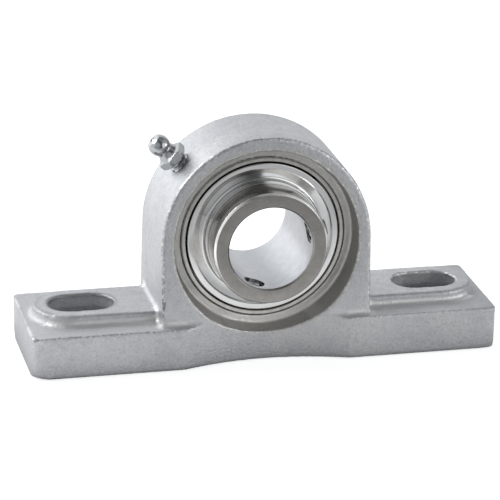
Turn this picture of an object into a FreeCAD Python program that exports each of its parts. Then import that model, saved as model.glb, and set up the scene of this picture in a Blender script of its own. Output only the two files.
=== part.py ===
"""Two-bolt pillow block: a cast housing that carries a self-aligning ball bearing insert.

Millimetres. X runs along the base, Y along the shaft, Z up from the mounting face.
The origin is the middle of the mounting face. The front, with the set screws, looks to -Y.
"""
import FreeCAD
import Part
import math
import os

V = FreeCAD.Vector

# Base and feet
base_length = 140.0
base_width = 38.0
foot_height = 13.0
base_corner_radius = 2.0
foot_edge_radius = 0.6
waist_half_span = 24.6
waist_depth = 4.4

# Bolt slots and the raised pads around them
bolt_from_end = 17.5
slot_width = 13.0
slot_length = 19.5
pad_rise = 3.3
pad_width = 22.5
pad_from_end = 3.0
pad_edge_radius = 1.2
pad_root_radius = 1.7

# Arched body
shaft_height = 36.5
arch_wall = 5.4
body_depth = 33.8
body_draft = 4.6
body_root_radius = 1.5
arch_edge_radius = 0.8

# Recess round the insert, on both faces of the body
recess_wall = 4.4
recess_draft = 6.0
seat_overrun = 0.5
loading_slot_clearance = 0.2

# Balls and races
ball_count = 9
ball_diameter = 7.938
pitch_diameter = 39.0
race_conformity = 0.515
race_shoulder = 2.5

# Insert, outer ring
outer_ring_wall = 6.5
outer_ring_width = 17.0
seal_seat_depth = 1.2
mouth_depth = 0.8
ring_edge_chamfer = 0.3
grease_hole_diameter = 1.4
ring_groove_width = 2.0
ring_groove_depth = 0.6

# Insert, inner ring
bore_diameter = 25.0
inner_front_length = 19.8
inner_rear_length = 14.3
bore_chamfer = 0.45
rim_chamfer = 0.6

# Cage, pressed from sheet and riveted between the balls
cage_sheet = 0.6
cage_width = 3.5
rivet_diameter = 1.2
rivet_head_diameter = 2.2
rivet_head_height = 0.45

# Seals and flingers
seal_gap = 0.4
cap_sheet = 0.4
cap_flange = 1.6
cap_overhang = 1.6
seal_thickness = 1.0
seal_lip_width = 0.5
flinger_sheet = 0.45
flinger_gap = 0.45
flinger_screw_gap = 0.3
flinger_rim_width = 1.9
flinger_dish_rise = 0.5
flinger_step_rise = 0.4
flinger_rim_rise = 0.45
flinger_root_radius = 0.9

# Set screws
screw_diameter = 6.0
screw_length = 5.0
screw_from_face = 5.0
screw_angles = (13.0, -107.0)
screw_standoff = 0.25
screw_socket_flats = 3.0
screw_socket_depth = 2.6
screw_point_chamfer = 0.8

# Grease nipple and its tapped hole
nipple_angle = 137.6
nipple_lean = 4.6
nipple_thread_diameter = 6.0
nipple_thread_length = 3.4
nipple_neck_length = 2.4
nipple_hex_flats = 8.0
nipple_hex_height = 2.0
nipple_crown_rise = 0.7
nipple_crown_diameter = 6.7
nipple_shank_diameter = 5.3
nipple_shank_taper = 1.4
nipple_shank_length = 1.8
nipple_head_diameter = 6.4
nipple_tip_diameter = 4.7
nipple_tip_rise = 0.55
nipple_tip_flat = 2.0
nipple_mouth_diameter = 1.5
nipple_passage_diameter = 1.4
check_ball_diameter = 2.0
spring_wire = 0.35
spring_length = 4.0
spring_turns = 5
spot_face_depth = 0.5
housing_passage_diameter = 2.6
housing_groove_depth = 0.8

# Clearances
seat_clearance = 0.03
ball_clearance = 0.01
pocket_clearance = 0.12
lip_clearance = 0.05
flinger_rim_gap = 0.3
screw_clearance = 0.03
check_ball_clearance = 0.05
spring_clearance = 0.1

# Lengths that follow from the sizes above
half_ring = outer_ring_width / 2
ball_radius = ball_diameter / 2
pitch_radius = pitch_diameter / 2
insert_radius = pitch_radius + outer_ring_wall
groove_radius = race_conformity * ball_diameter
inner_race_radius = pitch_radius - ball_radius - ball_clearance
outer_race_radius = pitch_radius + ball_radius + ball_clearance
bore_radius = bore_diameter / 2
inner_radius = pitch_radius - race_shoulder
shoulder_radius = pitch_radius + race_shoulder
seal_seat_radius = shoulder_radius + seal_seat_depth
mouth_radius = shoulder_radius + mouth_depth
seat_radius = insert_radius + seat_clearance
seat_half = half_ring + seat_overrun
seat_mouth_radius = math.sqrt(seat_radius ** 2 - seat_half ** 2)
arch_radius = insert_radius + arch_wall
recess_radius = arch_radius - recess_wall
cage_half = ball_radius + pocket_clearance + cage_sheet
cap_start = cage_half + seal_gap
cap_end = cap_start + cap_sheet
seal_end = cap_end + seal_thickness
dish_back = seal_end + flinger_gap
dish_front = dish_back + flinger_sheet
screw_offset = inner_front_length - screw_from_face
flinger_end = screw_offset - screw_diameter / 2 - flinger_screw_gap
rim_radius = mouth_radius - flinger_rim_gap
step_radius = rim_radius - flinger_rim_width
grease_groove_offset = (cap_start + math.sqrt(groove_radius ** 2
                        - (shoulder_radius - outer_race_radius + groove_radius) ** 2)) / 2
pad_half = pad_width / 2
bolt_spacing = base_length - 2 * bolt_from_end
pad_end = base_length / 2 - pad_from_end
pad_top = foot_height + pad_rise
nipple_seat = arch_radius - spot_face_depth
hexagon_start = nipple_seat + nipple_neck_length
hexagon_end = hexagon_start + nipple_hex_height
crown_end = hexagon_end + nipple_crown_rise
head_start = crown_end + nipple_shank_length
head_middle = head_start + math.sqrt(nipple_head_diameter ** 2 - nipple_shank_diameter ** 2) / 2
head_end = head_middle + math.sqrt(nipple_head_diameter ** 2 - nipple_tip_diameter ** 2) / 2
nipple_tip = head_end + nipple_tip_rise
chamber_radius = check_ball_diameter / 2 + check_ball_clearance
check_ball_place = nipple_tip - chamber_radius
spring_radius = chamber_radius - spring_clearance - spring_wire / 2
spring_top = check_ball_place - math.sqrt((check_ball_diameter / 2 + spring_wire / 2) ** 2
                                          - spring_radius ** 2)
chamber_floor = spring_top - spring_length

AXIS = V(0, 0, shaft_height)
FRONT = -1
REAR = 1


def about_shaft(points):
    """Solid of revolution about the shaft from (distance along Y, radius) corners."""
    corners = [V(0, y, shaft_height + radius) for y, radius in points]
    outline = Part.makePolygon(corners + corners[:1])
    return Part.Face(outline).revolve(AXIS, V(0, 1, 0), 360)


def drum(radius, start, end):
    """Cylinder on the shaft's line from one place along Y to another."""
    return Part.makeCylinder(radius, end - start, V(0, start, shaft_height), V(0, 1, 0))


def race(radius_to_centre):
    """Torus that the ball groove of a ring is cut with."""
    return Part.makeTorus(radius_to_centre, groove_radius, AXIS, V(0, 1, 0))


def around(angle, radius, y=0.0):
    """Point at an angle from +X towards +Z round the shaft."""
    turn = math.radians(angle)
    return V(radius * math.cos(turn), y, shaft_height + radius * math.sin(turn))


def outward(angle):
    """Direction away from the shaft at an angle from +X towards +Z."""
    turn = math.radians(angle)
    return V(math.cos(turn), 0, math.sin(turn))


def radial_rod(angle, diameter, start, end, y=0.0):
    """Cylinder that points away from the shaft, between two radii."""
    return Part.makeCylinder(diameter / 2, end - start, around(angle, start, y), outward(angle))


def radial_hexagon(angle, flats, start, end, y=0.0):
    """Hexagonal prism that points away from the shaft, between two radii."""
    across_corners = flats / math.cos(math.radians(30))
    side = V(0, 1, 0)
    up = outward(angle).cross(side)
    centre = around(angle, start, y)
    corners = []
    for corner in range(6):
        turn = math.radians(60 * corner + 30)
        reach = across_corners / 2
        corners.append(centre + side * (reach * math.cos(turn)) + up * (reach * math.sin(turn)))
    outline = Part.makePolygon(corners + corners[:1])
    return Part.Face(outline).extrude(outward(angle) * (end - start))


def radial_turned(angle, points, y=0.0):
    """Turned piece on a line away from the shaft, from (radius from shaft, own radius) corners."""
    side = V(0, 1, 0)
    corners = [around(angle, place, y) + side * own for place, own in points]
    outline = Part.makePolygon(corners + corners[:1])
    return Part.Face(outline).revolve(around(angle, 0, y), outward(angle), 360)


def leaned(shape):
    """A piece of the nipple or its hole, turned to stand square to the drafted rear of the casting."""
    shape.rotate(around(nipple_angle, arch_radius), outward(nipple_angle).cross(V(0, 1, 0)), nipple_lean)
    return shape


def mirrored(shape):
    """The same piece for the rear half."""
    return shape.mirror(V(0, 0, 0), V(0, 1, 0))


def edges_where(shape, test):
    """Edges whose every vertex and middle pass a test."""
    chosen = []
    for edge in shape.Edges:
        middle = edge.valueAt((edge.FirstParameter + edge.LastParameter) / 2)
        places = [vertex.Point for vertex in edge.Vertexes] + [middle]
        if all(test(place) for place in places):
            chosen.append(edge)
    return chosen


def foot_plate():
    """Straight-sided base plate with rounded corners and softened top edges."""
    plate = Part.makeBox(base_length, base_width, foot_height,
                         V(-base_length / 2, -base_width / 2, 0))
    upright = edges_where(plate, lambda p: abs(abs(p.x) - base_length / 2) < 0.01
                          and abs(abs(p.y) - base_width / 2) < 0.01)
    plate = plate.makeFillet(base_corner_radius, upright)
    top = edges_where(plate, lambda p: abs(p.z - foot_height) < 0.01)
    return plate.makeFillet(foot_edge_radius, top)


def pad_bar():
    """Raised pad with round ends that runs from foot to foot under the body."""
    straight = 2 * (pad_end - pad_half)
    middle = Part.makeBox(straight, pad_width, pad_rise, V(-straight / 2, -pad_half, foot_height))
    bar = middle
    for side in (-1, 1):
        end = V(side * straight / 2, 0, foot_height)
        bar = bar.fuse(Part.makeCylinder(pad_half, pad_rise, end))
    return bar.removeSplitter()


def arched_body():
    """Body with an arched outline, thinner towards its top by the draft of its faces."""
    span = V(0, base_width, 0)
    left = V(-arch_radius, -base_width / 2, 0)
    right = V(arch_radius, -base_width / 2, 0)
    rise = V(0, 0, shaft_height)
    crown = V(0, -base_width / 2, shaft_height + arch_radius)
    outline = Part.Wire([Part.LineSegment(left, right).toShape(),
                         Part.LineSegment(right, right + rise).toShape(),
                         Part.Arc(right + rise, crown, left + rise).toShape(),
                         Part.LineSegment(left + rise, left).toShape()])
    block = Part.Face(outline).extrude(span)

    top = shaft_height + arch_radius + 1
    low = body_depth / 2 + foot_height * math.tan(math.radians(body_draft))
    high = low - top * math.tan(math.radians(body_draft))
    reach = arch_radius + 1
    corners = [V(-reach, -low, 0), V(-reach, low, 0), V(-reach, high, top), V(-reach, -high, top)]
    wedge = Part.Face(Part.makePolygon(corners + corners[:1])).extrude(V(2 * reach, 0, 0))
    body = block.common(wedge)

    def on_outline(p):
        over = math.hypot(p.x, max(p.z - shaft_height, 0))
        face = low - p.z * math.tan(math.radians(body_draft))
        return abs(over - arch_radius) < 0.05 and abs(abs(p.y) - face) < 0.05

    return body.makeFillet(arch_edge_radius, edges_where(body, on_outline))


def waist_cutter(side):
    """Upright cylinder that draws the base in, in plan, between the feet."""
    radius = (waist_half_span ** 2 + waist_depth ** 2) / (2 * waist_depth)
    centre_y = side * (base_width / 2 - waist_depth + radius)
    return Part.makeCylinder(radius, shaft_height, V(0, centre_y, 0))


def recess(side):
    """Tapered recess from the seat's edge out through one face of the body."""
    flare = math.tan(math.radians(recess_draft))
    far = base_width
    wide = recess_radius + (far - seat_half) * flare
    return about_shaft([(side * seat_half, 0), (side * seat_half, recess_radius),
                        (side * far, wide), (side * far, 0)])


def loading_slots():
    """Slot through the seat's rear edge, left and right, that the ring goes in by."""
    half = half_ring + loading_slot_clearance
    reach = seat_radius
    box = Part.makeBox(2 * reach, seat_half, 2 * half, V(-reach, 0, shaft_height - half))
    return box.common(drum(reach, 0, seat_half))


def grease_way():
    """Tapped hole for the nipple, and the passage and groove that lead grease to the ring."""
    tapped_end = nipple_seat - nipple_thread_length
    tapped = radial_rod(nipple_angle, nipple_thread_diameter, tapped_end, arch_radius + 1)
    passage = radial_rod(nipple_angle, housing_passage_diameter, insert_radius - 1, tapped_end)
    groove = drum(seat_radius + housing_groove_depth, -housing_passage_diameter / 2,
                  grease_groove_offset + ring_groove_width / 2)
    return [leaned(tapped), leaned(passage), groove]


def bolt_slot(side):
    """Slotted bolt hole through one foot."""
    centre = V(side * bolt_spacing / 2, 0, 0)
    straight = slot_length - slot_width
    slot = Part.makeBox(straight, slot_width, pad_top, centre - V(straight / 2, slot_width / 2, 0))
    for end in (-1, 1):
        foot = centre + V(end * straight / 2, 0, 0)
        slot = slot.fuse(Part.makeCylinder(slot_width / 2, pad_top, foot))
    return slot.removeSplitter()


def housing():
    """Cast housing with its machined seat, slots and tapped grease hole."""
    base = foot_plate().fuse(pad_bar()).removeSplitter()
    rim = edges_where(base, lambda p: abs(p.z - pad_top) < 0.01)
    base = base.makeFillet(pad_edge_radius, rim)
    root = edges_where(base, lambda p: abs(p.z - foot_height) < 0.01
                       and abs(p.y) < pad_half + 0.01 and abs(p.x) < pad_end + 0.01)
    base = base.makeFillet(pad_root_radius, root)

    low = body_depth / 2
    cast = base.fuse(arched_body())

    def at_body_root(p):
        on_side = abs(abs(p.x) - arch_radius) < 0.05 and abs(p.y) < low + 0.05
        on_face = abs(abs(p.y) - low) < 0.05 and abs(p.x) < arch_radius + 0.05
        return p.z > foot_height - 0.05 and p.z < pad_top + 0.05 and (on_side or on_face)

    cast = cast.makeFillet(body_root_radius, edges_where(cast, at_body_root))

    cuts = [waist_cutter(FRONT), waist_cutter(REAR), recess(FRONT), recess(REAR),
            drum(seat_mouth_radius, -seat_half, seat_half), Part.makeSphere(seat_radius, AXIS),
            loading_slots(), bolt_slot(-1), bolt_slot(1)]
    return cast.cut(cuts + grease_way())


def outer_ring():
    """Outer ring with a spherical outside, its ball groove and the seats of the seals."""
    ring = drum(insert_radius, -half_ring, half_ring).common(Part.makeSphere(insert_radius, AXIS))
    edge = math.sqrt(insert_radius ** 2 - half_ring ** 2)
    bevel = ring_edge_chamfer
    for side in (FRONT, REAR):
        corner = about_shaft([(side * half_ring, edge - bevel), (side * (half_ring - bevel), edge + 1),
                              (side * (half_ring + 1), edge + 1), (side * (half_ring + 1), edge - bevel)])
        mouth = drum(mouth_radius, 0, half_ring + 1)
        seat = drum(seal_seat_radius, cap_start, cap_start + cap_flange)
        if side == FRONT:
            mouth = mirrored(mouth)
            seat = mirrored(seat)
        ring = ring.cut([corner, mouth.cut(drum(mouth_radius + 1, -cap_start, cap_start)), seat])
    ring = ring.cut([drum(shoulder_radius, -half_ring, half_ring),
                     race(outer_race_radius - groove_radius)])

    band = drum(insert_radius + 1, grease_groove_offset - ring_groove_width / 2,
                grease_groove_offset + ring_groove_width / 2)
    band_depth = math.sqrt(insert_radius ** 2 - grease_groove_offset ** 2) - ring_groove_depth
    band = band.cut(drum(band_depth, 0, half_ring))
    holes = [radial_rod(angle, grease_hole_diameter, shoulder_radius - 1, insert_radius,
                        grease_groove_offset) for angle in (nipple_angle, nipple_angle + 180)]
    return ring.cut([band] + holes)


def inner_ring():
    """Inner ring, longer at the front, with its ball groove and tapped set screw holes."""
    front = -inner_front_length
    rear = inner_rear_length
    ring = about_shaft([(front, bore_radius + bore_chamfer), (front, inner_radius - rim_chamfer),
                        (front + rim_chamfer, inner_radius), (rear - rim_chamfer, inner_radius),
                        (rear, inner_radius - rim_chamfer), (rear, bore_radius + bore_chamfer),
                        (rear - bore_chamfer, bore_radius), (front + bore_chamfer, bore_radius)])
    holes = [radial_rod(angle, screw_diameter, 0, inner_radius + 1, -screw_offset)
             for angle in screw_angles]
    return ring.cut([race(inner_race_radius + groove_radius)] + holes)


def ball(angle):
    """One ball at its place on the pitch circle."""
    return Part.makeSphere(ball_radius, around(angle, pitch_radius))


def pocket_sphere(angle, radius):
    """Sphere round one ball, turned so that its seam lies in front of the cage's rear half."""
    sphere = Part.makeSphere(radius)
    sphere.rotate(V(0, 0, 0), V(0, 0, 1), -90)
    sphere.rotate(V(0, 0, 0), V(0, 1, 0), 90 - angle)
    sphere.translate(around(angle, pitch_radius))
    return sphere


def cage_ring():
    """Rear half of the cage: a flat ring bulged round every ball, with rivet holes."""
    inside = pitch_radius - cage_width / 2
    outside = pitch_radius + cage_width / 2
    pocket = ball_radius + pocket_clearance
    half = drum(outside, 0, cage_sheet)
    for angle in ball_angles:
        half = half.fuse(pocket_sphere(angle, pocket + cage_sheet))
    half = half.common(drum(outside, 0, cage_half).cut(drum(inside, 0, cage_half)))
    for angle in ball_angles:
        half = half.cut(pocket_sphere(angle, pocket))
    return half.cut([rivet_bar(angle, cage_sheet) for angle in rivet_angles])


def rivet_bar(angle, reach):
    """Straight shank between two balls, along the shaft's direction."""
    start = around(angle, pitch_radius, -reach)
    return Part.makeCylinder(rivet_diameter / 2, 2 * reach, start, V(0, 1, 0))


def cage_rivets():
    """All the rivets, each with a head on both sides."""
    rivets = []
    for angle in rivet_angles:
        rivet = rivet_bar(angle, cage_sheet)
        for side in (FRONT, REAR):
            foot = around(angle, pitch_radius, side * cage_sheet)
            head = Part.makeCone(rivet_head_diameter / 2, rivet_diameter / 2, rivet_head_height,
                                 foot, V(0, side, 0))
            rivet = rivet.fuse(head)
        rivets.append(rivet)
    return Part.makeCompound(rivets)


def seal_cap():
    """Rear steel ring that snaps into the outer ring and carries the rubber."""
    inside = inner_radius + cap_overhang
    flange_inside = seal_seat_radius - cap_sheet
    return about_shaft([(cap_start, inside), (cap_end, inside), (cap_end, flange_inside),
                        (cap_start + cap_flange, flange_inside),
                        (cap_start + cap_flange, seal_seat_radius), (cap_start, seal_seat_radius)])


def seal():
    """Rear rubber ring on the cap, with a lip that runs just off the inner ring."""
    lip = inner_radius + lip_clearance
    root = inner_radius + cap_overhang
    outside = seal_seat_radius - cap_sheet
    return about_shaft([(cap_start + seal_lip_width, lip), (cap_end + seal_lip_width, lip),
                        (seal_end, root), (seal_end, outside - seal_lip_width),
                        (cap_end + seal_lip_width, outside), (cap_end, outside), (cap_end, root)])


def flinger():
    """Rear flinger: a collar on the inner ring that opens into a stepped, polished dish."""
    step_out = dish_front + flinger_dish_rise
    rim_in = step_out + flinger_step_rise
    rim_out = rim_in + flinger_rim_rise
    collar = inner_radius + flinger_sheet
    slope = flinger_step_rise / 2
    plate = about_shaft([(flinger_end, inner_radius), (flinger_end, collar), (dish_front, collar),
                         (step_out, step_radius - slope), (rim_in, step_radius + slope),
                         (rim_out, rim_radius), (rim_out - flinger_sheet, rim_radius),
                         (rim_in - flinger_sheet, step_radius + slope),
                         (step_out - flinger_sheet, step_radius - slope),
                         (dish_back, collar), (dish_back, inner_radius)])
    root = edges_where(plate, lambda p: abs(p.y - dish_front) < 0.01
                       and abs(math.hypot(p.x, p.z - shaft_height) - collar) < 0.01)
    return plate.makeFillet(flinger_root_radius, root)


def set_screw(angle):
    """Cup point set screw with a hexagon socket, set just clear of the bore."""
    point = bore_radius + screw_standoff
    end = point + screw_length
    radius = screw_diameter / 2 - screw_clearance
    chamfer = screw_point_chamfer
    screw = radial_turned(angle, [(point, 0), (point, radius - chamfer), (point + chamfer, radius),
                                  (end - chamfer / 2, radius), (end, radius - chamfer / 2), (end, 0)],
                          -screw_offset)
    cup = Part.makeCone(radius - chamfer * 1.5, 0, chamfer, around(angle, point, -screw_offset),
                        outward(angle))
    socket = radial_hexagon(angle, screw_socket_flats, end - screw_socket_depth, end, -screw_offset)
    return screw.cut([cup, socket])


def grease_nipple():
    """Body of the nipple: thread, crowned hexagon, shank and the round head that the coupler grips."""
    start = nipple_seat - nipple_thread_length
    thread = nipple_thread_diameter / 2
    crown = nipple_crown_diameter / 2
    shank = nipple_shank_diameter / 2
    tip = nipple_tip_diameter / 2
    corner = nipple_hex_flats / 2 / math.cos(math.radians(30))

    def at(place, own):
        return around(nipple_angle, place, own)

    low = Part.makePolygon([at(start, 0), at(start, thread), at(hexagon_start, thread),
                            at(hexagon_start, crown), at(crown_end, crown),
                            at(crown_end + nipple_shank_taper, shank), at(head_start, shank)])
    head = Part.Arc(at(head_start, shank), at(head_middle, nipple_head_diameter / 2), at(head_end, tip))
    high = Part.makePolygon([at(head_end, tip), at(nipple_tip, nipple_tip_flat / 2),
                             at(nipple_tip, 0), at(start, 0)])
    outline = Part.Wire(low.Edges + [head.toShape()] + high.Edges)
    body = Part.Face(outline).revolve(at(0, 0), outward(nipple_angle), 360)
    hexagon = radial_hexagon(nipple_angle, nipple_hex_flats, hexagon_start, crown_end)
    crowned = radial_turned(nipple_angle, [
        (hexagon_start, 0), (hexagon_start, corner), (hexagon_end, corner), (crown_end, crown),
        (crown_end, 0)])
    body = body.fuse(hexagon.common(crowned))
    chamber = radial_rod(nipple_angle, 2 * chamber_radius, chamber_floor, check_ball_place)
    ball_seat = Part.makeSphere(chamber_radius, around(nipple_angle, check_ball_place))
    mouth = radial_rod(nipple_angle, nipple_mouth_diameter, check_ball_place, nipple_tip)
    passage = radial_rod(nipple_angle, nipple_passage_diameter, start, chamber_floor)
    return leaned(body.removeSplitter().cut([chamber, ball_seat, mouth, passage]))


def check_ball():
    """Ball that closes the nipple's mouth from inside."""
    return leaned(Part.makeSphere(check_ball_diameter / 2, around(nipple_angle, check_ball_place)))


def check_spring():
    """Coil spring between the floor of the nipple's chamber and the ball."""
    height = spring_length - spring_wire - 2 * spring_clearance
    coil = Part.makeHelix(height / spring_turns, height, spring_radius)
    section = Part.Wire(Part.makeCircle(spring_wire / 2, V(spring_radius, 0, 0), V(0, 1, 0)))
    spring = Part.Wire(coil.Edges).makePipeShell([section], True, True)
    spring.rotate(V(0, 0, 0), V(0, 1, 0), 90 - nipple_angle)
    spring.translate(around(nipple_angle, chamber_floor + spring_wire / 2 + spring_clearance))
    return leaned(spring)


def main():
    nodes = {"housing": housing(), "outer_ring": outer_ring(), "inner_ring": inner_ring(),
             "cage_rear": cage_ring(), "cage_rivets": cage_rivets(),
             "rear_seal_cap": seal_cap(), "rear_seal": seal(), "rear_flinger": flinger(),
             "grease_nipple": grease_nipple(), "nipple_check_ball": check_ball(),
             "nipple_spring": check_spring()}
    for rear in ("cage_rear", "rear_seal_cap", "rear_seal", "rear_flinger"):
        front = rear.replace("rear", "front")
        nodes[front] = mirrored(nodes[rear])
    for number, angle in enumerate(ball_angles, 1):
        nodes["ball_%d" % number] = ball(angle)
    for number, angle in enumerate(screw_angles, 1):
        nodes["set_screw_%d" % number] = set_screw(angle)
    os.makedirs("parts", exist_ok=True)
    for name, shape in nodes.items():
        print(name, "valid", shape.isValid(), "solids", len(shape.Solids), round(shape.Volume, 1))
        shape.exportStep("parts/%s.step" % name)


ball_angles = [90 + 360 * number / ball_count for number in range(ball_count)]
rivet_angles = [angle + 180 / ball_count for angle in ball_angles]

main()
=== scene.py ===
"""Looks of the pillow block bearing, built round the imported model.

Metres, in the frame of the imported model: X along the base, Y along the shaft, Z up from the floor.
The shaft's line runs along Y at the height SHAFT. The front, with the set screws, looks to -Y.
Sizes of turned pieces are in millimetres: along the piece's axis, and out from it.
"""
import bmesh
import bpy
import itertools
import math
import numpy as np
from mathutils import Matrix, Vector


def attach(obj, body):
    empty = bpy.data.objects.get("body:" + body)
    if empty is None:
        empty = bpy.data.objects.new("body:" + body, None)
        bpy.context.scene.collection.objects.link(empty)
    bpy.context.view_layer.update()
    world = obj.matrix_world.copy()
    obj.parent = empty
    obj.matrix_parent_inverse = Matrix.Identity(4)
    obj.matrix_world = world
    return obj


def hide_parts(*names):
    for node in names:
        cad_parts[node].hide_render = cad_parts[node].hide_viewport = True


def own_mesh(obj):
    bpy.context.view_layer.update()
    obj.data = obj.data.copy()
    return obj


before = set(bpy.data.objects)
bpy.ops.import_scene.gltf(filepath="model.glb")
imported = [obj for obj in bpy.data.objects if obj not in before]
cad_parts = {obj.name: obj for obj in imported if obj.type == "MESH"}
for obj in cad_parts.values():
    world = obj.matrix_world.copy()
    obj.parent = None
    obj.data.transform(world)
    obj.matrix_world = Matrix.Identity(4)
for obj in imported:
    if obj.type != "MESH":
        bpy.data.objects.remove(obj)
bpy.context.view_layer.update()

MM = 0.001
SHAFT = 36.5 * MM
BASE_END = 70 * MM
BASE_SIDE = 19 * MM


def link(name, data):
    """A new object in the scene."""
    thing = bpy.data.objects.new(name, data)
    bpy.context.scene.collection.objects.link(thing)
    return thing


# Camera, at the photograph's viewing angle

def make_camera():
    azimuth = math.radians(-13.76)
    elevation = math.radians(20.16)
    roll = math.radians(1.13)
    target = Vector((-1.59, 0.0, 29.17)) * MM
    distance = 852.48 * MM
    sensor = 36.0
    focal_pixels = 2873.8
    frame_pixels = 500
    back = Vector((math.sin(azimuth) * math.cos(elevation),
                   -math.cos(azimuth) * math.cos(elevation), math.sin(elevation)))
    right = (-back).cross(Vector((0, 0, 1))).normalized()
    up = right.cross(-back)
    across = right * math.cos(roll) + up * math.sin(roll)
    upward = up * math.cos(roll) - right * math.sin(roll)
    camera = link("camera", bpy.data.cameras.new("camera"))
    turn = Matrix((across, upward, back)).transposed().to_4x4()
    camera.matrix_world = Matrix.Translation(target + back * distance) @ turn
    camera.data.sensor_width = sensor
    camera.data.lens = sensor * focal_pixels / frame_pixels
    camera.data.clip_start = 0.01
    camera.data.clip_end = 20.0
    bpy.context.scene.camera = camera


# Node helpers

def add(tree, kind, sockets=None, **settings):
    """A shader node; a value that is itself a socket is linked."""
    made = tree.nodes.new("ShaderNode" + kind)
    for name, value in settings.items():
        setattr(made, name, value)
    for name, value in (sockets or {}).items():
        if isinstance(value, bpy.types.NodeSocket):
            tree.links.new(value, made.inputs[name])
        else:
            made.inputs[name].default_value = value
    return made


def calc(tree, operation, first, second=0.0, third=0.0):
    """Result of a Math node."""
    made = add(tree, "Math", {0: first, 1: second, 2: third}, operation=operation)
    return made.outputs[0]


def length(tree, first, second):
    """Length of two values at right angles to each other."""
    squares = [calc(tree, "MULTIPLY", value, value) for value in (first, second)]
    return calc(tree, "SQRT", calc(tree, "ADD", squares[0], squares[1]))


def blend_colours(tree, share, first, second):
    """Mix of two colours by a share."""
    made = add(tree, "Mix", {0: share, 6: first, 7: second}, data_type="RGBA")
    return made.outputs[2]


def span(tree, value, low, high, to_low, to_high):
    """Value mapped from one span to another, clamped."""
    made = add(tree, "MapRange", {0: value, 1: low, 2: high, 3: to_low, 4: to_high})
    return made.outputs[0]


def grain(tree, place, per_metre, detail=2.0, roughness=0.5):
    """Noise of a given number of features per metre at a place."""
    made = add(tree, "TexNoise", {"Vector": place, "Scale": per_metre, "Detail": detail,
                                  "Roughness": roughness})
    return made.outputs[0]


def new_shader(name, metallic=1.0):
    """A material with its tree, its main shader and the piece's own coordinates."""
    material = bpy.data.materials.new(name)
    material.use_nodes = True
    tree = material.node_tree
    shader = tree.nodes["Principled BSDF"]
    shader.inputs["Metallic"].default_value = metallic
    place = add(tree, "TexCoord").outputs["Object"]
    return material, tree, shader, place


def finish_shader(tree, shader, colour, roughness):
    """Links the shader's colour and roughness."""
    tree.links.new(colour, shader.inputs["Base Color"])
    tree.links.new(roughness, shader.inputs["Roughness"])


def relief(tree, shader, height, distance, strength=1.0, normal=None):
    """Bump on a shader, or on top of another bump."""
    sockets = {"Height": height, "Distance": distance, "Strength": strength}
    if normal is not None:
        sockets["Normal"] = normal
    made = add(tree, "Bump", sockets)
    tree.links.new(made.outputs[0], shader.inputs["Normal"])
    return made.outputs[0]


def about_shaft(tree, place):
    """Parts of a place, its height over the shaft's line and its radius from that line."""
    parts = add(tree, "SeparateXYZ", {0: place}).outputs
    high = calc(tree, "SUBTRACT", parts[2], SHAFT)
    return parts, high, length(tree, parts[0], high)


def turned_place(tree, place, across, around):
    """Coordinates that run fast across a turned surface and slowly round the shaft."""
    parts, high, radius = about_shaft(tree, place)
    over = calc(tree, "MULTIPLY", calc(tree, "ADD", radius, parts[1]), across)
    cosine = calc(tree, "MULTIPLY", calc(tree, "DIVIDE", parts[0], radius), around)
    sine = calc(tree, "MULTIPLY", calc(tree, "DIVIDE", high, radius), around)
    return add(tree, "CombineXYZ", {0: over, 1: cosine, 2: sine}).outputs[0]


# Cast material

def blasted_colour(tree, place, mottle):
    """Cold grey with stains, a mottled bloom, glints and pits."""
    cold = (0.465, 0.48, 0.505, 1)
    pale = (0.575, 0.575, 0.59, 1)
    bloom = (0.62, 0.61, 0.615, 1)
    glint = (0.80, 0.80, 0.78, 1)
    pitted = (0.30, 0.31, 0.32, 1)
    stain = grain(tree, place, 45.0, 4.0, 0.6)
    sparkle = grain(tree, place, 2400.0, 2.0, 0.7)
    pits = grain(tree, place, 1300.0, 2.0, 0.5)
    base = blend_colours(tree, span(tree, stain, 0.35, 0.65, 0.0, 1.0), cold, pale)
    base = blend_colours(tree, span(tree, mottle, 0.35, 0.7, 0.0, 0.35), base, bloom)
    base = blend_colours(tree, span(tree, sparkle, 0.55, 0.70, 0.0, 0.45), base, glint)
    return blend_colours(tree, span(tree, pits, 0.50, 0.30, 0.0, 0.32), base, pitted)


def recess_colour(tree, base, parts, high, radius):
    """A warmer recess; its inner step gets painted light at the bottom and a painted highlight along its
    corner.
    """
    warm = (0.50, 0.49, 0.465, 1)
    lit = (0.85, 0.83, 0.79, 1)
    shining = (0.95, 0.93, 0.90, 1)
    recess = span(tree, radius, 29.0 * MM, 27.8 * MM, 0.0, 0.7)
    base = blend_colours(tree, recess, base, warm)
    depth = calc(tree, "ABSOLUTE", parts[1])
    step = calc(tree, "MULTIPLY", span(tree, depth, 9.9 * MM, 9.4 * MM, 0.0, 1.0),
                span(tree, radius, 27.6 * MM, 27.2 * MM, 0.0, 1.0))
    # Painted light: the lower part of the step is made paler, where light falls from above.
    below = span(tree, high, -14 * MM, -24 * MM, 0.0, 0.9)
    base = blend_colours(tree, calc(tree, "MULTIPLY", step, below), base, lit)
    # Painted highlight: a bright line along the step's corner.
    corner = calc(tree, "MULTIPLY", step, span(tree, radius, 26.4 * MM, 26.7 * MM, 0.0, 0.6))
    return blend_colours(tree, corner, base, shining)


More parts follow.
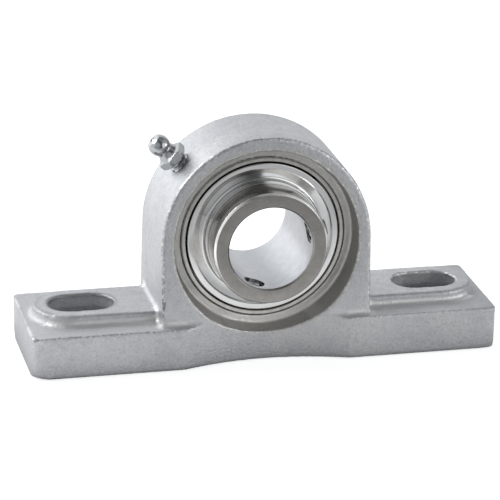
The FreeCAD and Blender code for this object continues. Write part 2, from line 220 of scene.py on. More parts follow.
def edge_colour(tree, place, base, parts, radius):
    """Broken dark lines, dirt and painted shade, and bright rubbed spots, wear and painted highlights,
    along the edges; the left slot's rim gets painted shade; also the share that is rubbed bright.
    """
    dirt_and_shade = (0.13, 0.135, 0.145, 1)
    worn_highlight = (0.82, 0.81, 0.79, 1)
    shaded = (0.22, 0.225, 0.235, 1)
    edge = add(tree, "Attribute", attribute_name="edge").outputs["Fac"]
    # The dark lines, dirt with painted shade, are stronger to the left; the bright spots, wear with
    # painted highlights, are stronger to the right.
    left = span(tree, parts[0], 35.0 * MM, -15.0 * MM, 0.25, 1.0)
    dashes = grain(tree, place, 950.0, 3.0)
    crest = span(tree, edge, 0.35, 0.65, 0.0, 1.0)
    dark = calc(tree, "MULTIPLY", crest, span(tree, dashes, 0.54, 0.42, 0.0, 0.75))
    dark = calc(tree, "MULTIPLY", dark, span(tree, radius, 29.5 * MM, 34.5 * MM, 0.0, 1.0))
    dark = calc(tree, "MULTIPLY", dark, left)
    wear_and_highlight = calc(tree, "MULTIPLY", crest, span(tree, dashes, 0.50, 0.66, 0.0, 0.8))
    wear_and_highlight = calc(tree, "MULTIPLY", wear_and_highlight, span(tree, left, 1.0, 0.25, 0.6, 1.0))
    # Dark dashes are dirt and painted shade, bright dashes are wear and painted highlights; below 0 the
    # left slot's rim gets painted shade.
    base = blend_colours(tree, dark, base, dirt_and_shade)
    base = blend_colours(tree, wear_and_highlight, base, worn_highlight)
    return blend_colours(tree, span(tree, edge, 0.0, -0.6, 0.0, 0.6), base, shaded), wear_and_highlight


def foot_colour(tree, base, parts, fillet):
    """Painted light between foot and pad, darker at the right end, painted highlights in the fillets; also
    the share between.
    """
    light = (0.80, 0.80, 0.80, 1)
    blue_grey = (0.33, 0.35, 0.38, 1)
    bright = (0.82, 0.815, 0.80, 1)
    above_foot = span(tree, parts[2], 12.2 * MM, 12.8 * MM, 0.0, 1.0)
    between = calc(tree, "MULTIPLY", span(tree, parts[2], 15.5 * MM, 14.5 * MM, 0.0, 1.0), above_foot)
    # Painted light on the strip between foot and pad.
    base = blend_colours(tree, calc(tree, "MULTIPLY", between, 0.35), base, light)
    end = calc(tree, "MULTIPLY", span(tree, parts[0], 55 * MM, 67 * MM, 0.0, 0.4), above_foot)
    base = blend_colours(tree, end, base, blue_grey)
    # Painted highlights in the hollow fillets.
    return blend_colours(tree, span(tree, fillet, 0.15, 0.8, 0.0, 0.6), base, bright), between


def cast_material():
    """Bead-blasted casting: a fine even grain, faint stains, edges rubbed bright and darkened with painted
    highlights and shade, and painted light in the recess and round the feet.
    """
    material, tree, shader, place = new_shader("cast_blasted")
    fillet = add(tree, "Attribute", attribute_name="fillet").outputs["Fac"]
    mottle = grain(tree, place, 420.0, 3.0)
    parts, high, radius = about_shaft(tree, place)
    base = blasted_colour(tree, place, mottle)
    base = recess_colour(tree, base, parts, high, radius)
    base, wear_and_highlight = edge_colour(tree, place, base, parts, radius)
    base, between = foot_colour(tree, base, parts, fillet)
    rough = span(tree, mottle, 0.3, 0.7, 0.50, 0.40)
    rough = calc(tree, "SUBTRACT", rough, calc(tree, "MULTIPLY", wear_and_highlight, 0.22))
    rough = calc(tree, "ADD", rough, calc(tree, "MULTIPLY", between, 0.2))
    rough = calc(tree, "SUBTRACT", rough, span(tree, fillet, 0.15, 0.8, 0.0, 0.25))
    finish_shader(tree, shader, base, rough)
    wide = relief(tree, shader, grain(tree, place, 380.0, 4.0, 0.6), 0.12 * MM, 0.6)
    relief(tree, shader, grain(tree, place, 1500.0, 3.0, 0.65), 0.18 * MM, 1.0, wide)
    return material


# Other materials

def turned_material(name, dark, light, rough, depth):
    """Turned steel with fine lines round the shaft."""
    material, tree, shader, place = new_shader(name)
    dulled = (0.5, 0.49, 0.47, 1)
    lines = grain(tree, turned_place(tree, place, 9000.0, 0.6), 1.0, 3.0, 0.6)
    stain = grain(tree, place, 140.0, 3.0)
    base = blend_colours(tree, span(tree, lines, 0.3, 0.7, 0.0, 1.0), dark, light)
    base = blend_colours(tree, span(tree, stain, 0.4, 0.7, 0.0, 0.25), base, dulled)
    finish_shader(tree, shader, base, span(tree, lines, 0.2, 0.8, rough * 1.25, rough * 0.8))
    relief(tree, shader, lines, depth)
    return material


def satin_material(name, dark, light, rough):
    """Fine ground steel: faint lines round the shaft under a cloudy, slightly scratched satin."""
    material, tree, shader, place = new_shader(name)
    lines = grain(tree, turned_place(tree, place, 14000.0, 3.0), 1.0, 2.0, 0.6)
    cloud = grain(tree, place, 420.0, 4.0, 0.6)
    specks = grain(tree, place, 3200.0, 2.0, 0.6)
    base = blend_colours(tree, span(tree, cloud, 0.35, 0.65, 0.0, 1.0), dark, light)
    base = blend_colours(tree, span(tree, lines, 0.55, 0.75, 0.0, 0.35), base, light)
    base = blend_colours(tree, span(tree, specks, 0.36, 0.26, 0.0, 0.45), base, dark)
    finish_shader(tree, shader, base, span(tree, cloud, 0.3, 0.7, rough * 1.1, rough * 0.93))
    first = relief(tree, shader, lines, 0.0015 * MM, 0.8)
    relief(tree, shader, specks, 0.004 * MM, 0.6, first)
    return material


def polished_material(name, dark, light, rough, haze):
    """Polished steel with faint haze and hairline scratches."""
    material, tree, shader, place = new_shader(name)
    cloud = grain(tree, place, 160.0, 3.0)
    base = blend_colours(tree, span(tree, cloud, 0.35, 0.65, 0.0, 1.0), dark, light)
    finish_shader(tree, shader, base, span(tree, cloud, 0.3, 0.7, rough, rough + haze))
    relief(tree, shader, grain(tree, place, 2200.0), 0.004 * MM, 0.5)
    return material


def rubber_material():
    """Black moulded rubber with a dusty bloom."""
    material, tree, shader, place = new_shader("rubber", 0.0)
    black = (0.012, 0.012, 0.012, 1)
    dusty = (0.03, 0.03, 0.031, 1)
    bloom = grain(tree, place, 700.0, 4.0)
    base = blend_colours(tree, span(tree, bloom, 0.35, 0.7, 0.0, 1.0), black, dusty)
    finish_shader(tree, shader, base, span(tree, bloom, 0.3, 0.7, 0.45, 0.7))
    relief(tree, shader, bloom, 0.03 * MM, 0.5)
    return material


# Mesh helpers

SHARP_ANGLE = math.radians(32)


def put(name, mesh, body, materials, node):
    """Adds a piece that rides on a body and stands for a CAD node."""
    piece = link(name, mesh)
    mesh.materials.clear()
    for material in materials:
        mesh.materials.append(material)
    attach(piece, body)
    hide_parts(node)
    return piece


def rows_of(items, field):
    """A field of all vertices or faces, such as co, normal or center, as rows of three numbers."""
    flat = np.zeros(len(items) * 3)
    items.foreach_get(field, flat)
    return flat.reshape(-1, 3)


def move_to(mesh, points):
    """Puts the vertices at new places."""
    mesh.vertices.foreach_set("co", points.astype(np.float32).ravel())
    mesh.update()


def keep_values(mesh, name, values):
    """One number for each vertex, for a material to read."""
    mesh.attributes.new(name, "FLOAT", "POINT")
    mesh.attributes[name].data.foreach_set("value", values.astype(np.float32))


def paint(mesh, indices):
    """One material for each face, by its index."""
    mesh.polygons.foreach_set("material_index", indices.astype(np.int32))


def from_shaft(points):
    """Distances from the shaft's line."""
    return np.hypot(points[:, 0], points[:, 2] - SHAFT)


def smoothed(points, pairs, times, share=0.5):
    """Points moved towards the average of their neighbours."""
    count = len(points)
    first = np.concatenate([pairs[:, 0], pairs[:, 1]])
    second = np.concatenate([pairs[:, 1], pairs[:, 0]])
    degree = np.maximum(np.bincount(first, minlength=count), 1)
    for _ in range(times):
        mean = np.stack([np.bincount(first, points[second, axis], count) / degree for axis in range(3)], 1)
        points = points + (mean - points) * share
    return points


def noise(points, size, seed):
    """Smooth noise from -1 to 1 that changes over about one size."""
    scaled = points / size
    cell = np.floor(scaled).astype(np.int64)
    part = scaled - cell
    fade = part * part * (3 - 2 * part)
    primes = np.array([73856093, 19349663, 83492791])
    total = np.zeros(len(points))
    for corner in itertools.product((0, 1), repeat=3):
        key = (cell + corner) @ primes + seed * 15485863
        key = (key ^ (key >> 13)) * 1274126177 & 0x7FFFFFFF
        value = ((key ^ (key >> 15)) & 0xFFFF) / 32767.5 - 1
        weight = np.prod(np.where(np.array(corner), fade, 1 - fade), 1)
        total += value * weight
    return total


def applied(thing):
    """The mesh of an object with its modifiers applied."""
    view = bpy.context.evaluated_depsgraph_get()
    return bpy.data.meshes.new_from_object(thing.evaluated_get(view))


def voxel_copy(node, size):
    """The CAD node's mesh rebuilt from small voxels, which rounds its edges a little."""
    copy = link("copy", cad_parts[node].data.copy())
    remesh = copy.modifiers.new("remesh", "REMESH")
    remesh.mode = "VOXEL"
    remesh.voxel_size = size
    remesh.use_smooth_shade = True
    mesh = applied(copy)
    bpy.data.objects.remove(copy)
    return mesh


def shade(mesh):
    """Smooth shading that keeps sharp edges sharp."""
    mesh.shade_smooth()
    mesh.set_sharp_from_angle(angle=SHARP_ANGLE)


def cut(mesh, cutters):
    """The mesh less the cutters' meshes."""
    body = link("body", mesh)
    tools = [link("tool", cutter) for cutter in cutters]
    for tool in tools:
        step = body.modifiers.new("cut", "BOOLEAN")
        step.operation = "DIFFERENCE"
        step.solver = "EXACT"
        step.object = tool
    made = applied(body)
    for thing in [body] + tools:
        bpy.data.objects.remove(thing)
    shade(made)
    return made


# Rows of turned pieces: (along, out, kind)

HEXAGON_STEP = math.pi / 3
THREAD_PITCH = 1.0
THREAD_DEPTH = 0.45
THREAD_STEPS = 8
BALL_GROOVE = 4.088
RACE_STEPS = 8


def round_rows(*pairs):
    """Round rows from (along, out) pairs."""
    return [(along, out, "round") for along, out in pairs]


def arc_rows(centre, radius, start, sweep, steps):
    """Round rows on a ball about a point of the axis; start and sweep are degrees from the axis."""
    turns = [math.radians(start + sweep * step / steps) for step in range(steps + 1)]
    return round_rows(*[(centre + radius * math.cos(turn), radius * math.sin(turn)) for turn in turns])


def race_rows(centre, shoulder, side):
    """Rows of a ball groove between its shoulders, hollow outward (side 1) or inward (side -1)."""
    half = math.acos(abs(shoulder - centre) / BALL_GROOVE)
    turns = [half * (step / RACE_STEPS - 1) for step in range(2 * RACE_STEPS + 1)]
    return round_rows(*[(BALL_GROOVE * math.sin(turn), centre + side * BALL_GROOVE * math.cos(turn))
                        for turn in turns])


def thread_rows(start, end, out):
    """Close rows for a screw thread."""
    count = max(2, round(abs(end - start) / THREAD_PITCH * THREAD_STEPS))
    return [(start + (end - start) * step / count, out, "thread") for step in range(count + 1)]


def rounded(corners, steps):
    """Rows of an outline whose corners become small arcs, from (along, out, radius) corners."""
    rows = []
    for index, (along, out, radius) in enumerate(corners):
        here = Vector((along, out))
        before = Vector(corners[index - 1][:2]) - here
        after = Vector(corners[(index + 1) % len(corners)][:2]) - here
        half = before.angle(after) / 2
        first = here + before.normalized() * radius / math.tan(half)
        last = here + after.normalized() * radius / math.tan(half)
        centre = here + (before.normalized() + after.normalized()).normalized() * radius / math.sin(half)
        for step in range(steps + 1):
            spot = first.lerp(last, step / steps) - centre
            spot = centre + spot.normalized() * radius
            rows.append((spot.x, spot.y, "round"))
    return rows


def row_radii(row, turn, flats, twist):
    """Radii of one row at each angle: round, on a helix (thread) or cut by six flats (hexagon)."""
    along, out, kind = row
    radii = np.full(len(turn), float(out))
    if kind == "thread":
        phase = (along / THREAD_PITCH - turn / (2 * math.pi)) % 1.0
        radii = radii - THREAD_DEPTH * np.clip(np.abs(2 * phase - 1) * 1.4 - 0.2, 0, 1)
    if kind == "hexagon":
        nearest = turn - twist - np.round((turn - twist) / HEXAGON_STEP) * HEXAGON_STEP
        radii = np.minimum(radii, flats / 2 / np.cos(nearest))
    return radii


def turned_mesh(name, rows, centre, axis, segments, flats=1.0, open_ends=False, twist=0.0):
    """Turned mesh from rows, with its size in millimetres from the centre along the axis."""
    axis = Vector(axis).normalized()
    side = Vector((0, 1, 0)) if abs(axis.y) < 0.5 else Vector((1, 0, 0))
    up = axis.cross(side)
    turn = np.arange(segments) * 2 * math.pi / segments
    rings = []
    for row in rows:
        radii = row_radii(row, turn, flats, twist)
        ring = np.outer(radii * np.cos(turn), side) + np.outer(radii * np.sin(turn), up)
        rings.append(ring + np.array(axis) * row[0])
    points = np.concatenate(rings) * MM + np.array(centre)
    faces = []
    count = len(rows)
    for row in range(count - 1 if open_ends else count):
        lower = row * segments
        upper = (row + 1) % count * segments
        for spot in range(segments):
            following = (spot + 1) % segments
            faces.append((lower + spot, lower + following, upper + following, upper + spot))
    mesh = bpy.data.meshes.new(name)
    mesh.from_pydata(points.tolist(), [], faces)
    mended = bmesh.new()
    mended.from_mesh(mesh)
    bmesh.ops.remove_doubles(mended, verts=mended.verts, dist=1e-6)
    bmesh.ops.dissolve_degenerate(mended, dist=1e-7, edges=mended.edges)
    bmesh.ops.recalc_face_normals(mended, faces=mended.faces)
    mended.to_mesh(mesh)
    mended.free()
    shade(mesh)
    return mesh


# Bearing insert

AXIS = (0, 0, SHAFT)
ALONG = (0, 1, 0)
RING_SEGMENTS = 192
BORE = 12.5
INNER_OUT = 17.0
INNER_FRONT = -19.8
INNER_REAR = 14.3
RING_FACE = 9.15
SCREW_ANGLES = (13.0, -107.0)
SCREW_PLACE = Vector(AXIS) + Vector((0, -14.8, 0)) * MM
SCREW_TIP = 12.75
SCREW_END = 17.75
NIPPLE_ANGLE = 137.6


def outward(angle):
    """Direction away from the shaft's line, at an angle from +X towards +Z."""
    turn = math.radians(angle)
    return Vector((math.cos(turn), 0, math.sin(turn)))


def make_outer_ring(ground):
    """Outer ring: spherical outside with a grease groove, ball groove, seal seats and bevelled mouths."""
    half = RING_FACE
    sphere = 26.0
    shoulder = 22.0
    groove_place = 4.12
    groove_half = 1.0
    groove_depth = 0.6
    hole = 0.7
    front = [(-half, 24.15), (-half, 23.3), (-half + 0.45, 22.95), (-6.69, 22.95), (-6.69, 23.2),
             (-5.09, 23.2), (-5.09, shoulder)]
    rear = [(-along, out) for along, out in reversed(front)]
    outside = []
    for step in range(49):
        along = (half - 0.25) * (1 - step / 24)
        lowered = groove_depth if abs(along - groove_place) < groove_half else 0.0
        outside.append((along, math.sqrt(sphere ** 2 - along ** 2) - lowered))
    rows = round_rows(*front) + race_rows(19.391, shoulder, 1) + round_rows(*rear, *outside)
    mesh = turned_mesh("outer_ring_turned", rows, AXIS, ALONG, RING_SEGMENTS)
    drill = round_rows((21.0, 0.0), (21.0, hole), (27.0, hole), (27.0, 0.0))
    place = Vector(AXIS) + Vector((0, groove_place, 0)) * MM
    holes = [turned_mesh("hole", drill, place, outward(angle), 24, open_ends=True)
             for angle in (NIPPLE_ANGLE, NIPPLE_ANGLE + 180)]
    put("outer_ring_turned", cut(mesh, holes), "outer_ring_body", [ground], "outer_ring")


def make_inner_ring(ground, bore, outside, bevel):
    """Inner ring with rounded chamfers, its ball groove and two tapped holes."""
    rim = 0.6
    lip = 0.45
    steps = 4
    before_race = 6 * (steps + 1)
    corners = [(INNER_REAR, BORE + lip, 0.12), (INNER_REAR - lip, BORE, 0.2),
               (INNER_FRONT + lip, BORE, 0.2), (INNER_FRONT, BORE + lip, 0.12),
               (INNER_FRONT, INNER_OUT - rim, 0.15), (INNER_FRONT + rim, INNER_OUT, 0.25),
               (INNER_REAR - rim, INNER_OUT, 0.25), (INNER_REAR, INNER_OUT - rim, 0.15)]
    outline = rounded(corners, steps)
    rows = outline[:before_race] + race_rows(19.609, INNER_OUT, -1) + outline[before_race:]
    mesh = turned_mesh("inner_ring_turned", rows, AXIS, ALONG, RING_SEGMENTS)
    hole = round_rows((10.0, 0.0)) + thread_rows(10.0, 16.6, 3.0 + THREAD_DEPTH)
    hole += round_rows((16.7, 3.05), (17.4, 3.75), (18.5, 3.75), (18.5, 0.0))
    cutters = [turned_mesh("hole", hole, SCREW_PLACE, outward(angle), 48, open_ends=True)
               for angle in SCREW_ANGLES]
    mesh = cut(mesh, cutters)
    put("inner_ring_turned", mesh, "inner_ring_body", [ground, bore, outside, bevel],
        "inner_ring")
    centres = rows_of(mesh.polygons, "center")
    radius = from_shaft(centres)
    # The faces keep the darker first material, painted shade.
    shown = np.where(radius > (INNER_OUT - 0.75) * MM, 2, 0)
    shown = np.where(radius < (BORE + 0.02) * MM, 1, shown)
    # The front chamfer gets the pale material, a painted highlight.
    at_front = centres[:, 1] < (INNER_FRONT + rim + 0.05) * MM
    paint(mesh, np.where(at_front & (radius > (INNER_OUT - rim - 0.02) * MM), 3, shown))


def make_set_screws(steel):
    """Threaded set screws with a cup point and a hexagon socket."""
    out = 2.97
    cup_depth = 0.9
    socket_depth = 2.4
    socket_flats = 3.0
    rows = round_rows((SCREW_TIP + cup_depth, 0.0), (SCREW_TIP + 0.05, 1.35), (SCREW_TIP, 1.5),
                      (SCREW_TIP + 0.05, 1.65), (SCREW_TIP + cup_depth, 2.5))
    rows += thread_rows(SCREW_TIP + cup_depth, SCREW_END - 0.45, out)
    rows += round_rows((SCREW_END - 0.4, 2.5), (SCREW_END, 2.2), (SCREW_END, 1.95))
    rows += [(SCREW_END - 0.25, 2.2, "hexagon"), (SCREW_END - socket_depth, 2.2, "hexagon")]
    rows += round_rows((SCREW_END - socket_depth - 0.5, 0.0))
    for number, angle in enumerate(SCREW_ANGLES, 1):
        mesh = turned_mesh("set_screw", rows, SCREW_PLACE, outward(angle), 96, socket_flats, True)
        put("set_screw_threaded_%d" % number, mesh, "set_screw_%d_body" % number,
            [steel], "set_screw_%d" % number)


def make_flingers(mirror):
    """Spun flingers: a collar on the inner ring, a polished dish, a step and a turned-out rim."""
    corners = [(11.5, 17.0, 0.08), (11.5, 17.45, 0.12), (8.05, 17.45, 0.9), (8.5, 20.65, 0.15),
               (9.3, 20.95, 0.2), (9.3, 22.65, 0.25), (8.85, 22.65, 0.12), (8.85, 21.25, 0.2),
               (8.0, 20.9, 0.2), (7.55, 17.45, 0.2), (6.94, 17.35, 0.05), (6.94, 17.0, 0.08)]
    for side, toward in (("rear", 1), ("front", -1)):
        rows = [(along * toward, out, kind) for along, out, kind in rounded(corners, 6)]
        mesh = turned_mesh("flinger", rows, AXIS, ALONG, RING_SEGMENTS)
        put(side + "_flinger_spun", mesh, "inner_ring_body", [mirror],
            side + "_flinger")


# Grease nipple

def make_nipple(steel, wire):
    """Grease nipple, hollow for its ball, with its spring."""
    lean = math.radians(4.6)
    arch = 31.4
    channel = 0.7
    chamber = 1.05
    spring_floor = 36.383
    ball_place = 41.266
    flats = 8.0
    out = outward(NIPPLE_ANGLE)
    direction = out * math.cos(lean) + Vector(ALONG) * math.sin(lean)
    foot = Vector(AXIS) + out * arch * MM - direction * arch * MM
    rows = round_rows((27.5, channel), (27.5, 2.5)) + thread_rows(27.9, 32.5, 3.0)
    rows += round_rows((32.7, 2.5), (33.25, 2.5), (33.3, 2.65))
    rows += [(33.3, 4.1, "hexagon"), (33.45, 4.4, "hexagon"), (33.65, 4.7, "hexagon"),
             (35.25, 4.7, "hexagon")]
    rows += [(35.3 + 0.7 * step / 8, 4.62 - 1.27 * step / 8, "hexagon") for step in range(9)]
    rows += round_rows((36.05, 3.28), (36.3, 3.15), (36.9, 2.85), (37.3, 2.68), (37.75, 2.62),
                       (37.85, 2.66))
    rows += arc_rows(39.594, 3.2, 145.0, -98.0, 16)
    rows += round_rows((41.83, 2.28), (42.05, 1.85), (42.24, 1.3), (42.31, 1.0), (42.31, 0.85),
                       (42.2, 0.75), (42.0, 0.75))
    rows += arc_rows(ball_place, chamber, 45.6, 44.4, 4)
    rows += round_rows((spring_floor, chamber), (spring_floor, channel))
    mesh = turned_mesh("nipple_turned", rows, foot, direction, 120, flats, twist=math.radians(9))
    put("grease_nipple_turned", mesh, "housing_body", [steel], "grease_nipple")
    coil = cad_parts["nipple_spring"].data.copy()
    spring = put("nipple_spring_wound", coil, "housing_body", [wire], "nipple_spring")
    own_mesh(spring)


# Housing

def soften_base(points, pairs, depth):
    """Softer edges at the floor, and the base's corners rounded, the left ones further."""
    aside = np.abs(points[:, 0]) / MM
    high = points[:, 2] / MM
    corner = np.clip((aside - 65) / 3, 0, 1) * np.clip((depth / MM - 14) / 3, 0, 1)
    corner *= np.clip((12.5 - high) / 2, 0, 1)
    lower = np.clip(1.4 - high, 0, 1) * (1 - corner)
    points = points + (smoothed(points, pairs, 12) - points) * lower[:, None]
    corner = np.where(points[:, 0] > 0, corner * 0.4, corner)
    return points + (smoothed(points, pairs, 80) - points) * corner[:, None]


def roughen(points, facing, sharp, still):
    """Gentle waves, and chips along the edges, except on still spots; nothing goes below the floor."""
    wave = noise(points, 4.5 * MM, 1) * 0.035 + noise(points, 1.6 * MM, 2) * 0.018
    chips = np.clip(sharp, 0, 0.4) * (0.3 * noise(points, 0.9 * MM, 3) + 0.15 * noise(points, 2.2 * MM, 4))
    lift = np.where(still, 0.0, wave + chips) * MM
    points = points + facing * lift[:, None]
    points[:, 2] = np.maximum(points[:, 2], 0)
    return points


def clear_seat(points, seat):
    """Keeps the seat off the outer ring's sphere and opens its lip, a little less at the top."""
    middle = np.array(AXIS)
    clearance = 26.05 * MM
    reach = np.linalg.norm(points - middle, axis=1)
    push = np.where(seat & (reach < 26.4 * MM), np.maximum(clearance / reach, 1.0), 1.0)
    points = middle + (points - middle) * push[:, None]
    away = from_shaft(points)
    depth = np.abs(points[:, 1])
    upward = np.clip((points[:, 2] - SHAFT) / np.maximum(away, MM), 0, 1)
    opened = (24.72 - 0.27 * upward ** 2) * MM
    lip = (depth > 8.45 * MM) & (depth < 9.6 * MM) & (away < opened)
    widened = np.where(lip, opened / np.maximum(away, MM), 1.0)
    points[:, 0] *= widened
    points[:, 2] = SHAFT + (points[:, 2] - SHAFT) * widened
    return points


def edge_weights(points, sharp, depth):
    """How far each edge is rubbed bright with a painted highlight, from 0 to 1; the left slot's rim is
    below 0, which gets painted shade.
    """
    aside = np.abs(points[:, 0])
    high = points[:, 2]
    arch = np.clip(high / MM - 18, 0, 1)
    wear_and_highlight = np.clip(sharp * (1 + 0.6 * arch) / 0.25, 0, 1)
    wear_and_highlight *= np.clip((depth / MM - 13 + 2.8 * arch) / 2, 0, 1)
    slots = (aside > 40 * MM) & (depth < 8 * MM) & (high > 10 * MM)
    # The right slot's rim gets painted highlights, the left one's rim gets painted shade.
    wear_and_highlight = np.where(slots, np.clip(sharp / 0.25, 0, 1) * np.sign(points[:, 0]), wear_and_highlight)
    # Painted highlights along the pads' rims, stronger on the right.
    pad_rims = (aside > 30 * MM) & (depth > 9.5 * MM) & (depth < 12.5 * MM) & (high > 14.8 * MM)
    pad_share = np.where(points[:, 0] > 0, 0.75, 0.3)
    return np.where(pad_rims, np.clip(sharp / 0.2, 0, 1) * pad_share, wear_and_highlight)


def fillet_weights(points, sharp, depth, radius):
    """How hollow the feet are at each spot, from 0 to 1, where the cast material paints highlights in the
    fillets.
    """
    feet = (points[:, 2] > 12.2 * MM) & (np.abs(points[:, 0]) > 24 * MM) & (depth > 8 * MM)
    return np.where(feet & (radius > 29.5 * MM), np.clip(-sharp / 0.1, 0, 1), 0.0)


def make_housing(cast, machined):
    """Casting with softened, waved and chipped surfaces and a clean seat."""
    mesh = voxel_copy("housing", 0.4 * MM)
    pairs = np.zeros(len(mesh.edges) * 2, np.int64)
    mesh.edges.foreach_get("vertices", pairs)
    pairs = pairs.reshape(-1, 2)
    points = smoothed(rows_of(mesh.vertices, "co"), pairs, 2)
    wide = smoothed(points, pairs, 12)
    move_to(mesh, points)
    facing = rows_of(mesh.vertices, "normal")
    sharp = np.sum((points - wide) * facing, 1) / MM

    radius = from_shaft(points)
    depth = np.abs(points[:, 1])
    recess = (depth < 9.3 * MM) & (radius < 27.3 * MM)
    underside = points[:, 2] < 0.3 * MM
    points = soften_base(points, pairs, depth)
    points = roughen(points, facing, sharp, recess | underside)
    points = clear_seat(points, recess & (radius < 26.6 * MM))
    move_to(mesh, points)

    keep_values(mesh, "fillet", fillet_weights(points, sharp, depth, radius))
    keep_values(mesh, "edge", edge_weights(points, sharp, depth))
    mesh.shade_smooth()
    put("housing_cast", mesh, "housing_body", [cast, machined], "housing")
    centres = rows_of(mesh.polygons, "center")
    paint(mesh, (np.abs(centres[:, 1]) < 8.9 * MM) & (from_shaft(centres) < 26.9 * MM))


# Studio

# Soft glows of the room: direction, from and to which cosine it fades in, and strength
GLOWS = [((-0.9, 0.4, 0.15), 0.3, 0.9, 0.80), ((0.9, 0.1, 0.3), 0.6, 1.0, 0.2),
         ((-0.05, 1.0, 0.3), 0.3, 0.95, 0.90), ((0.63, -0.75, 0.21), 0.88, 0.92, 0.9),
         ((0.75, -0.45, 0.5), 0.72, 0.93, 0.35), ((-0.75, -0.6, 0.4), 0.72, 0.92, 0.25),
         ((-0.414, -0.85, 0.326), 0.86, 0.95, 0.2), ((0.1, -0.2, 1.0), 0.93, 0.99, 0.22)]
ROOM_LEVEL = 0.10


def make_room():
    """World with soft glows, which the camera sees as white."""
    world = bpy.data.worlds.new("studio")
    bpy.context.scene.world = world
    world.use_nodes = True
    tree = world.node_tree
    tree.nodes.clear()
    direction = add(tree, "TexCoord").outputs["Generated"]
    total = ROOM_LEVEL
    for toward, low, high, strength in GLOWS:
        facing = add(tree, "VectorMath", {0: direction, 1: Vector(toward).normalized()},
                     operation="DOT_PRODUCT").outputs["Value"]
        soft = add(tree, "MapRange", {0: facing, 1: low, 2: high, 3: 0.0, 4: strength},
                   interpolation_type="SMOOTHSTEP").outputs[0]
        total = calc(tree, "ADD", soft, total)
    room = add(tree, "Background", {"Color": (0.97, 0.985, 1.0, 1), "Strength": total})
    white = add(tree, "Background", {"Color": (1, 1, 1, 1), "Strength": 1.0})
    path = add(tree, "LightPath")
    choose = add(tree, "MixShader", {0: path.outputs["Is Camera Ray"], 1: room.outputs[0],
                                     2: white.outputs[0]})
    out = add(tree, "OutputWorld")
    tree.links.new(choose.outputs[0], out.inputs[0])


def make_lamp(name, place, size, power):
    """Square lamp that looks at the bearing."""
    light = bpy.data.lights.new(name, "AREA")
    light.shape = "SQUARE"
    light.size = size
    light.energy = power
    lamp = link(name, light)
    lamp.location = place
    aim = Vector((0, 0, 0.03)) - Vector(place)
    lamp.rotation_mode = "QUATERNION"
    lamp.rotation_quaternion = aim.to_track_quat("-Z", "Y")


def floor_glow(tree, place):
    """How bright metal sees the floor, a painted glow: dimmer to the right, with painted shade near the
    base, far ahead and in one dark patch.
    """
    parts = add(tree, "SeparateXYZ", {0: place}).outputs
    shown = span(tree, parts[0], -0.12, 0.15, 0.7, 0.25)
    # Painted shade round the base, seen only in reflections.
    aside = calc(tree, "SUBTRACT", calc(tree, "ABSOLUTE", parts[0]), BASE_END)
    ahead = calc(tree, "SUBTRACT", calc(tree, "ABSOLUTE", parts[1]), BASE_SIDE)
    clear = span(tree, calc(tree, "MAXIMUM", aside, ahead), 0.0, 14 * MM, 0.1, 1.0)
    before = calc(tree, "SUBTRACT", -BASE_SIDE, parts[1])
    far = span(tree, before, 55 * MM, 110 * MM, 1.0, 0.1)
    shown = calc(tree, "MULTIPLY", shown, calc(tree, "MULTIPLY", clear, far))
    # Painted shade in one patch ahead, seen only in reflections.
    patch_x = calc(tree, "DIVIDE", calc(tree, "SUBTRACT", parts[0], 1 * MM), 14 * MM)
    patch_y = calc(tree, "DIVIDE", calc(tree, "ADD", parts[1], 103 * MM), 11 * MM)
    from_patch = length(tree, patch_x, patch_y)
    return calc(tree, "MULTIPLY", shown, span(tree, from_patch, 0.7, 1.2, 0.1, 1.0))


def make_floor():
    """Floor that the camera sees white, just under the base; metal sees a painted glow in it."""
    reach = 0.45
    drop = 0.2 * MM
    mesh = bpy.data.meshes.new("floor")
    mesh.from_pydata([(-reach, -reach, 0), (reach, -reach, 0), (reach, reach, 0), (-reach, reach, 0)],
                     [], [(0, 1, 2, 3)])
    ground = link("floor", mesh)
    ground.location = (0, 0, -drop)
    material, tree, shader, place = new_shader("floor_white", 0.0)
    settings = {"Base Color": (0.6, 0.6, 0.6, 1), "Roughness": 0.9, "Specular IOR Level": 0.0,
                "Emission Color": (1, 1, 1, 1)}
    for name, value in settings.items():
        shader.inputs[name].default_value = value
    path = add(tree, "LightPath").outputs
    mirrored = calc(tree, "MULTIPLY", path["Is Glossy Ray"], floor_glow(tree, place))
    seen = calc(tree, "MULTIPLY_ADD", path["Is Camera Ray"], 0.75, mirrored)
    tree.links.new(seen, shader.inputs["Emission Strength"])
    mesh.materials.append(material)


# Assembly

make_camera()
make_room()
make_lamp("key", (-0.62, 0.3, 0.56), 0.35, 2.4)
make_lamp("side", (0.75, -0.35, 0.25), 0.3, 0.7)
make_floor()

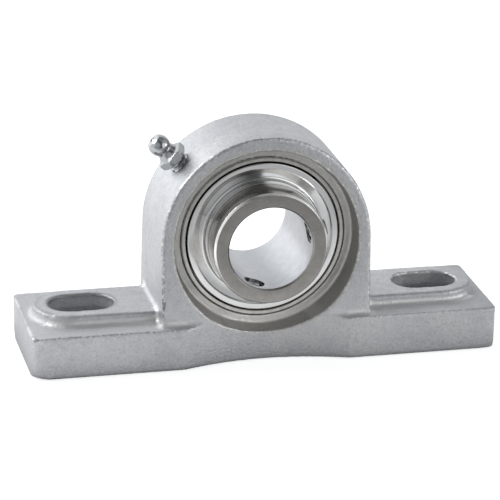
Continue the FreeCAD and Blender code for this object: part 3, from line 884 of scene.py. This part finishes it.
cast = cast_material()
machined = turned_material("cast_machined", (0.66, 0.655, 0.64, 1), (0.90, 0.895, 0.88, 1), 0.52,
                           0.012 * MM)
# Painted shade: the inner ring's faces are far darker than its bore and outside.
ring = satin_material("ring_ground_shaded", (0.30, 0.29, 0.275, 1), (0.35, 0.34, 0.325, 1), 0.27)
race = satin_material("race_ground", (0.44, 0.43, 0.41, 1), (0.56, 0.55, 0.53, 1), 0.22)
outside = satin_material("ring_outside", (0.41, 0.395, 0.37, 1), (0.49, 0.475, 0.45, 1), 0.14)
# Painted highlight: the inner ring's front chamfer is far paler than the rest of the ring.
bevel = satin_material("ring_bevel_highlight", (0.84, 0.83, 0.82, 1), (0.92, 0.91, 0.90, 1), 0.2)
bore = satin_material("bore_ground", (0.45, 0.46, 0.48, 1), (0.49, 0.50, 0.52, 1), 0.3)
mirror = polished_material("flinger_polished", (0.70, 0.70, 0.70, 1), (0.78, 0.78, 0.78, 1), 0.05, 0.03)
ball_steel = polished_material("ball_polished", (0.74, 0.74, 0.74, 1), (0.8, 0.8, 0.8, 1), 0.04, 0.02)
zinc = polished_material("nipple_bright", (0.35, 0.365, 0.375, 1), (0.49, 0.505, 0.515, 1), 0.12, 0.06)
screw = polished_material("screw_satin", (0.28, 0.28, 0.28, 1), (0.42, 0.42, 0.42, 1), 0.28, 0.1)
sheet = polished_material("sheet_pressed", (0.5, 0.5, 0.5, 1), (0.6, 0.6, 0.6, 1), 0.25, 0.12)
rubber = rubber_material()

by_slot = {"ring_steel": ring, "ball_steel": ball_steel, "cage_steel": sheet, "rivet_steel": sheet,
           "seal_rubber": rubber, "cap_steel": sheet, "flinger_steel": mirror, "screw_steel": screw,
           "nipple_steel": zinc, "spring_steel": sheet, "cast_steel": cast}
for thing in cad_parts.values():
    for index, held in enumerate(thing.data.materials):
        thing.data.materials[index] = by_slot[held.name.split(".")[0]]

make_housing(cast, machined)
make_outer_ring(race)
make_inner_ring(ring, bore, outside, bevel)
make_set_screws(screw)
make_flingers(mirror)
make_nipple(zinc, sheet)

bpy.context.scene.view_settings.view_transform = "Standard"
